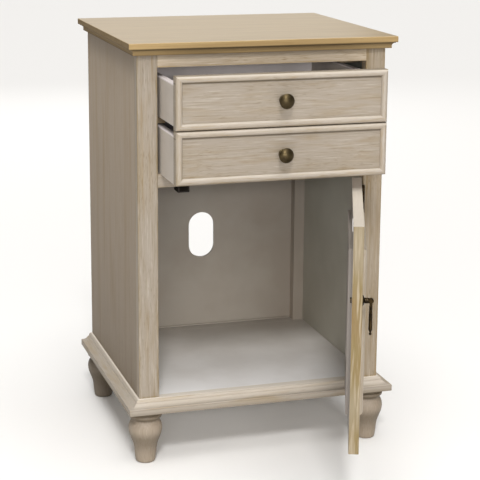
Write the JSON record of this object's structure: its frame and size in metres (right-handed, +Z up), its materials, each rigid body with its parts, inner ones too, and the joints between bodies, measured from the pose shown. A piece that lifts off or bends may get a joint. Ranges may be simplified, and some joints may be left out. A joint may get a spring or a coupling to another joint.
{
  "type": "nightstand",
  "caption": "Bedside cabinet with a wooden top, whitewashed body, drawers over a hinged cupboard door, moulded base and turned feet.",
  "frame": {"origin": "on the floor, under the middle of the top board", "axes": "+Z up, the door and drawers face -Y, and +X is to the right as seen from the front"},
  "size_m": [0.468, 0.7253, 0.711],
  "materials": {
    "top_wood": "clear satin lacquer",
    "whitewash": "whitewashed, rubbed through at the edges",
    "interior_paint": "matt grey-white paint",
    "bare_wood": "planed and unfinished",
    "bronze": "dark antique bronze",
    "steel": "zinc plated",
    "catch_plastic": "moulded, dark brown",
    "magnet": "sintered, between steel pole plates"
  },
  "bodies": {
    "cabinet": {"top_board": "top_wood", "crown_moulding": "top_wood", "floor_panel": "interior_paint", "left_side_panel": "whitewash", "right_side_panel": "whitewash", "left_front_stile": "whitewash", "right_front_stile": "whitewash", "top_front_rail": "whitewash", "middle_front_rail": "whitewash", "left_rear_post": "interior_paint", "right_rear_post": "interior_paint", "rear_top_rail": "interior_paint", "back_panel": "interior_paint", "back_panel_screws": "steel", "base_front_moulding": "whitewash", "base_left_moulding": "whitewash", "base_right_moulding": "whitewash", "base_rear_rail": "interior_paint", "foot_bolts": "steel", "front_left_foot": "whitewash", "front_right_foot": "whitewash", "rear_left_foot": "whitewash", "rear_right_foot": "whitewash", "upper_runners": "bare_wood", "lower_runners": "bare_wood", "drawer_kickers": "bare_wood", "catch_body": "catch_plastic", "catch_magnet": "magnet", "hinge_cabinet_leaves": "bronze", "hinge_pins": "bronze", "cabinet_hardware_screws": "steel"},
    "upper_drawer": {"upper_drawer_front": "whitewash", "upper_drawer_bead": "whitewash", "upper_drawer_left_side": "interior_paint", "upper_drawer_right_side": "interior_paint", "upper_drawer_back": "interior_paint", "upper_drawer_bottom": "interior_paint", "upper_knob": "bronze", "upper_knob_screw": "steel"},
    "lower_drawer": {"lower_drawer_front": "whitewash", "lower_drawer_bead": "whitewash", "lower_drawer_left_side": "interior_paint", "lower_drawer_right_side": "interior_paint", "lower_drawer_back": "interior_paint", "lower_drawer_bottom": "interior_paint", "lower_knob": "bronze", "lower_knob_screw": "steel"},
    "door": {"door_free_stile": "whitewash", "door_hinge_stile": "whitewash", "door_top_rail": "whitewash", "door_bottom_rail": "whitewash", "door_panel": "whitewash", "door_bead": "whitewash", "door_panel_stops": "whitewash", "strike_plate": "steel", "hinge_door_leaves": "bronze", "door_hardware_screws": "steel", "pull_mount": "bronze", "pull_screw": "bronze"},
    "pull_drop": {"pull_drop": "bronze"}
  },
  "joints": [
    {"name": "upper_drawer_slide", "type": "slide", "parent": "cabinet", "child": "upper_drawer", "axis": [0, -1, 0], "range_m": [-0.106, 0.11]},
    {"name": "lower_drawer_slide", "type": "slide", "parent": "cabinet", "child": "lower_drawer", "axis": [0, -1, 0], "range_m": [-0.106, 0.11]},
    {"name": "door_hinge", "type": "hinge", "parent": "cabinet", "child": "door", "pos_m": [0.178, -0.1915, 0.2945], "axis": [0, 0, 1], "range_deg": [-69, 41]},
    {"name": "pull_drop_swing", "type": "hinge", "parent": "door", "child": "pull_drop", "pos_m": [0.06789, -0.50485, 0.353], "axis": [-0.3584, -0.9336, 0], "range_deg": [-8, 90]}
  ]
}
